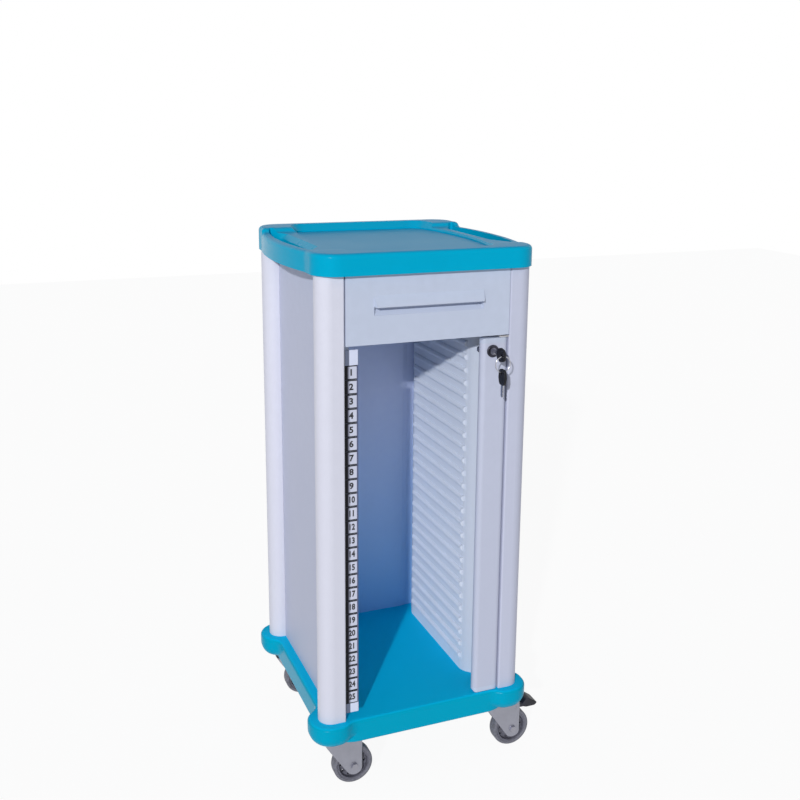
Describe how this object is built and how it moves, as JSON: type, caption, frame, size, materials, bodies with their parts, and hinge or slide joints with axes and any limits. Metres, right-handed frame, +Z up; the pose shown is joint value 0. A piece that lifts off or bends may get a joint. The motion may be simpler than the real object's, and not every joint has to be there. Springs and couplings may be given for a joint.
{
  "type": "medical chart rack",
  "caption": "Wheeled chart rack on swivel casters with a ribbed slot compartment, top drawer, hinged lock bar and a tray top with two side grips.",
  "frame": {"origin": "on the floor, at the middle of the whole footprint: from the brake pedal to the opposite grip rail, and from the key to the rear of the base", "axes": "+X to the right seen from the front, +Y from the front to the rear, +Z up"},
  "size_m": [0.4647, 0.4607, 0.9945],
  "materials": {
    "teal_plastic": "satin moulded ABS",
    "aluminium_column": "satin powder coat on extruded aluminium",
    "panel_white": "satin powder coat",
    "liner_plastic": "matt moulded plastic",
    "drawer_plastic": "matt moulded plastic",
    "zinc_steel": "bright zinc plate",
    "bright_steel": "polished plate",
    "label_plastic": "printed plastic",
    "strip_dark": "dark plastic",
    "tread_rubber": "dark grey tread",
    "hub_plastic": "grey nylon",
    "black_plastic": "black moulded plastic"
  },
  "bodies": {
    "carcass": {"column_front_left": "aluminium_column", "column_front_right": "aluminium_column", "column_rear_left": "aluminium_column", "column_rear_right": "aluminium_column", "side_panel_left": "panel_white", "side_panel_right": "panel_white", "back_panel": "panel_white", "slot_liner_left": "liner_plastic", "slot_liner_right": "liner_plastic", "base_tray": "teal_plastic", "top_tray": "teal_plastic", "top_rails": "zinc_steel", "tray_screws": "zinc_steel", "front_crossbar": "zinc_steel", "label_strip": "strip_dark", "slot_tags": "label_plastic", "runner_fixed_left": "zinc_steel", "runner_fixed_right": "zinc_steel", "lock_bar_bush": "black_plastic", "lock_bar_hinge_plate": "zinc_steel", "lock_keeper": "zinc_steel", "caster_mounts": "zinc_steel"},
    "drawer": {"drawer_front": "drawer_plastic", "drawer_box": "drawer_plastic", "drawer_screws": "zinc_steel", "runner_slider_left": "zinc_steel", "runner_slider_right": "zinc_steel"},
    "lock_bar_assembly": {"lock_bar": "aluminium_column", "lock_bar_caps": "drawer_plastic", "lock_bar_pins": "zinc_steel", "lock_housing": "bright_steel", "lock_nut": "zinc_steel"},
    "lock_plug_assembly": {"lock_plug": "bright_steel", "lock_cam": "bright_steel", "cam_screw": "zinc_steel", "lock_key_blade": "bright_steel", "lock_key_bow": "black_plastic"},
    "ring": {"key_ring": "bright_steel"},
    "spare_key": {"spare_key_blade": "bright_steel", "spare_key_bow": "black_plastic"},
    "swivel_front_left": {"caster_fork_front_left": "zinc_steel", "caster_axle_front_left": "zinc_steel"},
    "wheel_front_left": {"caster_hub_front_left": "hub_plastic", "caster_tread_front_left": "tread_rubber"},
    "brake_lever_front_right": {"brake_pedal_front_right": "black_plastic"},
    "swivel_front_right": {"caster_fork_front_right": "zinc_steel", "caster_axle_front_right": "zinc_steel", "brake_pin_front_right": "zinc_steel"},
    "wheel_front_right": {"caster_hub_front_right": "hub_plastic", "caster_tread_front_right": "tread_rubber"},
    "brake_lever_rear_left": {"brake_pedal_rear_left": "black_plastic"},
    "swivel_rear_left": {"caster_fork_rear_left": "zinc_steel", "caster_axle_rear_left": "zinc_steel", "brake_pin_rear_left": "zinc_steel"},
    "wheel_rear_left": {"caster_hub_rear_left": "hub_plastic", "caster_tread_rear_left": "tread_rubber"},
    "swivel_rear_right": {"caster_fork_rear_right": "zinc_steel", "caster_axle_rear_right": "zinc_steel"},
    "wheel_rear_right": {"caster_hub_rear_right": "hub_plastic", "caster_tread_rear_right": "tread_rubber"}
  },
  "joints": [
    {"name": "drawer_slide", "type": "slide", "parent": "carcass", "child": "drawer", "axis": [0, -1, 0], "range_m": [0, 0.25]},
    {"name": "lock_bar_swing", "type": "hinge", "parent": "carcass", "child": "lock_bar_assembly", "pos_m": [0.1263, -0.1685, 0.1435], "axis": [0, 0, 1], "range_deg": [0, 90]},
    {"name": "lock_turn", "type": "hinge", "parent": "lock_bar_assembly", "child": "lock_plug_assembly", "pos_m": [0.1048, -0.1775, 0.804], "axis": [0, 1, 0], "range_deg": [0, 90]},
    {"name": "key_ring_swing", "type": "hinge", "parent": "lock_plug_assembly", "child": "ring", "pos_m": [0.1048, -0.218, 0.804], "axis": [1, 0, 0], "range_deg": [-60, 15]},
    {"name": "spare_key_swing", "type": "hinge", "parent": "ring", "child": "spare_key", "pos_m": [0.1048, -0.218, 0.7738], "axis": [1, 0, 0], "range_deg": [-60, 15]},
    {"name": "swivel_turn_front_left", "type": "hinge", "parent": "carcass", "child": "swivel_front_left", "pos_m": [-0.179, -0.1465, 0.099], "axis": [0, 0, 1], "continuous": true},
    {"name": "wheel_spin_front_left", "type": "hinge", "parent": "swivel_front_left", "child": "wheel_front_left", "pos_m": [-0.1475, -0.1465, 0.0375], "axis": [0, 1, 0], "continuous": true},
    {"name": "swivel_turn_front_right", "type": "hinge", "parent": "carcass", "child": "swivel_front_right", "pos_m": [0.147, -0.1465, 0.099], "axis": [0, 0, 1], "continuous": true},
    {"name": "wheel_spin_front_right", "type": "hinge", "parent": "swivel_front_right", "child": "wheel_front_right", "pos_m": [0.1785, -0.1465, 0.0375], "axis": [0, 1, 0], "continuous": true},
    {"name": "brake_press_front_right", "type": "hinge", "parent": "swivel_front_right", "child": "brake_lever_front_right", "pos_m": [0.185, -0.1465, 0.0815], "axis": [0, 1, 0], "range_deg": [0, 6]},
    {"name": "swivel_turn_rear_left", "type": "hinge", "parent": "carcass", "child": "swivel_rear_left", "pos_m": [-0.179, 0.1805, 0.099], "axis": [0, 0, 1], "continuous": true},
    {"name": "wheel_spin_rear_left", "type": "hinge", "parent": "swivel_rear_left", "child": "wheel_rear_left", "pos_m": [-0.1475, 0.1805, 0.0375], "axis": [0, 1, 0], "continuous": true},
    {"name": "brake_press_rear_left", "type": "hinge", "parent": "swivel_rear_left", "child": "brake_lever_rear_left", "pos_m": [-0.141, 0.1805, 0.0815], "axis": [0, 1, 0], "range_deg": [0, 6]},
    {"name": "swivel_turn_rear_right", "type": "hinge", "parent": "carcass", "child": "swivel_rear_right", "pos_m": [0.147, 0.1805, 0.099], "axis": [0, 0, 1], "continuous": true},
    {"name": "wheel_spin_rear_right", "type": "hinge", "parent": "swivel_rear_right", "child": "wheel_rear_right", "pos_m": [0.1785, 0.1805, 0.0375], "axis": [0, 1, 0], "continuous": true}
  ]
}
